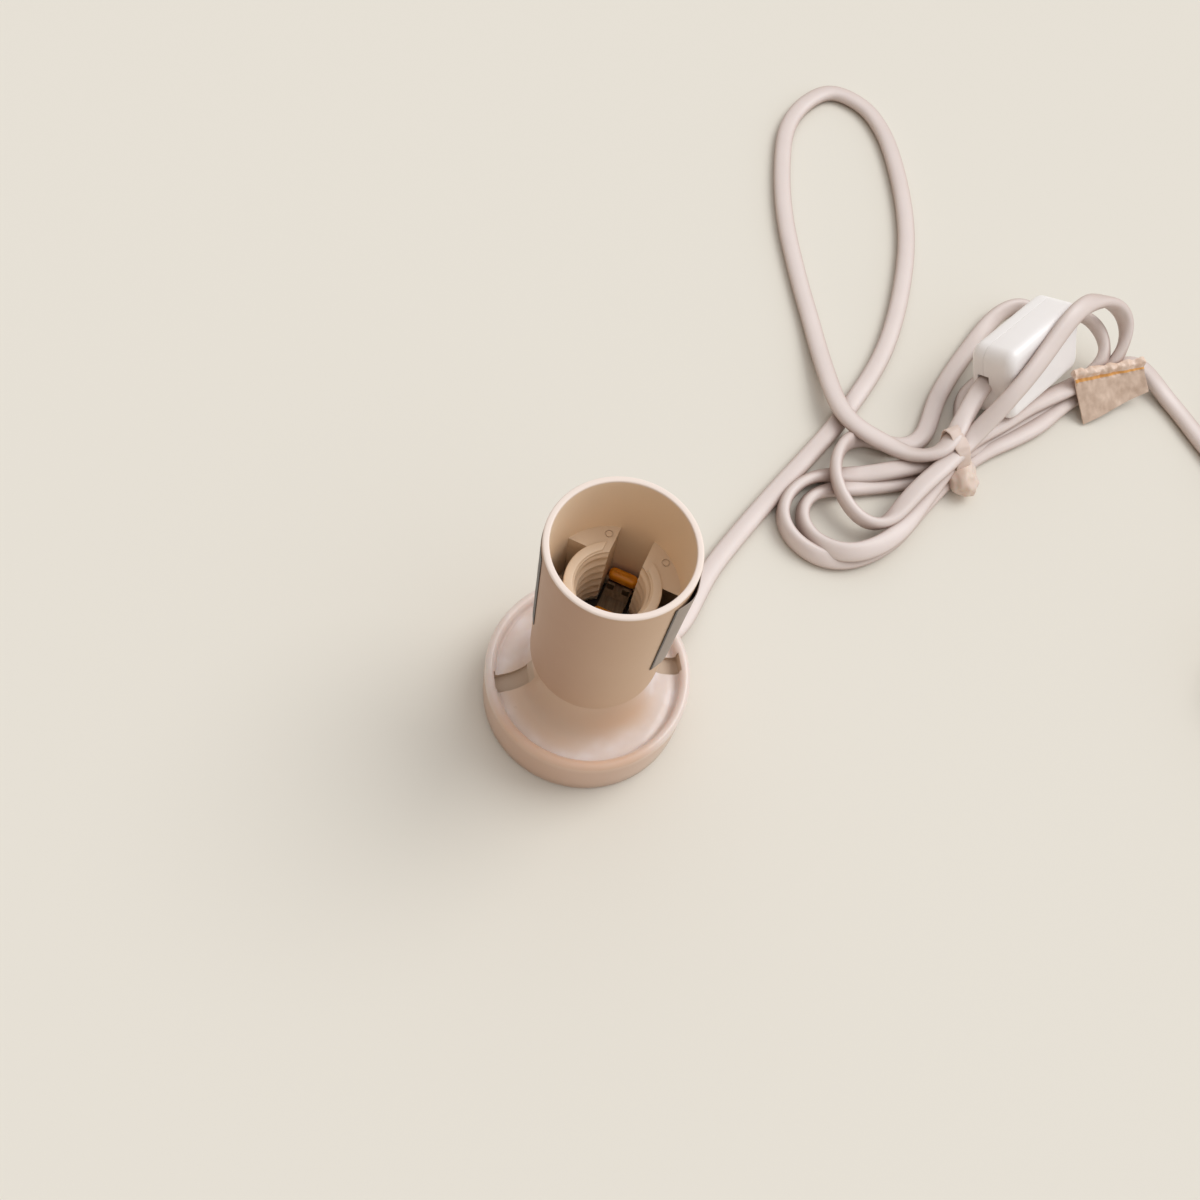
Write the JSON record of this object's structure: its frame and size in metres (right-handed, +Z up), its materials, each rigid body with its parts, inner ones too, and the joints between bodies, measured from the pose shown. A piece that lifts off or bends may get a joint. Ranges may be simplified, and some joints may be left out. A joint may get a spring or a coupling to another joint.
{
  "type": "lamp cord set",
  "caption": "Small-cap lamp holder standing on a round cup base, wired to a flat white cord with an inline rocker switch, a tag and a flat plug.",
  "frame": {"origin": "centre of the cup base on the surface that it stands on", "axes": "+Z up along the holder's axis; the cord leaves towards +Y and +X"},
  "size_m": [0.2341, 0.2297, 0.07],
  "materials": {
    "white_shell": "moulded, soft sheen",
    "milky_cup": "milky, lets a little light through",
    "grey_cover": "moulded",
    "dark_carrier": "moulded thermoset",
    "orange_insulator": "moulded",
    "contact_metal": "nickel-plated strip",
    "zinc_steel": "zinc plated",
    "plug_pin": "nickel plated",
    "white_cord": "soft extruded sheath, satin",
    "white_switch": "glossy",
    "core_insulation": "extruded, one brown and one blue core",
    "tie_band": "satin",
    "tag_film": "folded film"
  },
  "bodies": {
    "cord_set": {"base_cup": "milky_cup", "base_cover": "grey_cover", "nipple": "zinc_steel", "nipple_washer": "zinc_steel", "nipple_lower_nut": "zinc_steel", "nipple_upper_nut": "zinc_steel", "cord_clamp_bar": "white_shell", "cord_clamp_screw_1": "zinc_steel", "cord_clamp_screw_2": "zinc_steel", "cord_inside": "white_cord", "holder_shell": "white_shell", "contact_carrier": "dark_carrier", "terminal_side": "contact_metal", "terminal_centre": "contact_metal", "core_side": "core_insulation", "core_centre": "core_insulation", "thread_insert": "white_shell", "side_contact": "contact_metal", "centre_contact": "contact_metal", "side_insulator": "orange_insulator", "centre_insulator": "orange_insulator", "switch_back_shell": "white_switch", "switch_front_shell": "white_switch", "switch_terminal_1": "contact_metal", "switch_screw_1": "zinc_steel", "switch_terminal_2": "contact_metal", "switch_screw_2": "zinc_steel", "hank_tie": "tie_band", "flag_tag": "tag_film", "plug_body": "white_switch", "plug_pin_1": "plug_pin", "plug_sleeve_1": "white_switch", "plug_pin_2": "plug_pin", "plug_sleeve_2": "white_switch", "cord_feed": "white_cord", "cord_switch_in": "white_cord", "cord_switch_out": "white_cord", "cord_hank_near": "white_cord", "cord_hank_far": "white_cord", "cord_tail": "white_cord", "cord_coil": "white_cord", "cord_plug_lead": "white_cord"},
    "rocker": {"switch_rocker": "white_switch", "switch_bridge_contact": "contact_metal"}
  },
  "joints": [
    {"name": "rocker_pivot", "type": "hinge", "parent": "cord_set", "child": "rocker", "pos_m": [0.08492, 0.11778, 0.01131], "axis": [0.4043, -0.2676, -0.8746], "range_deg": [0, 14]}
  ]
}
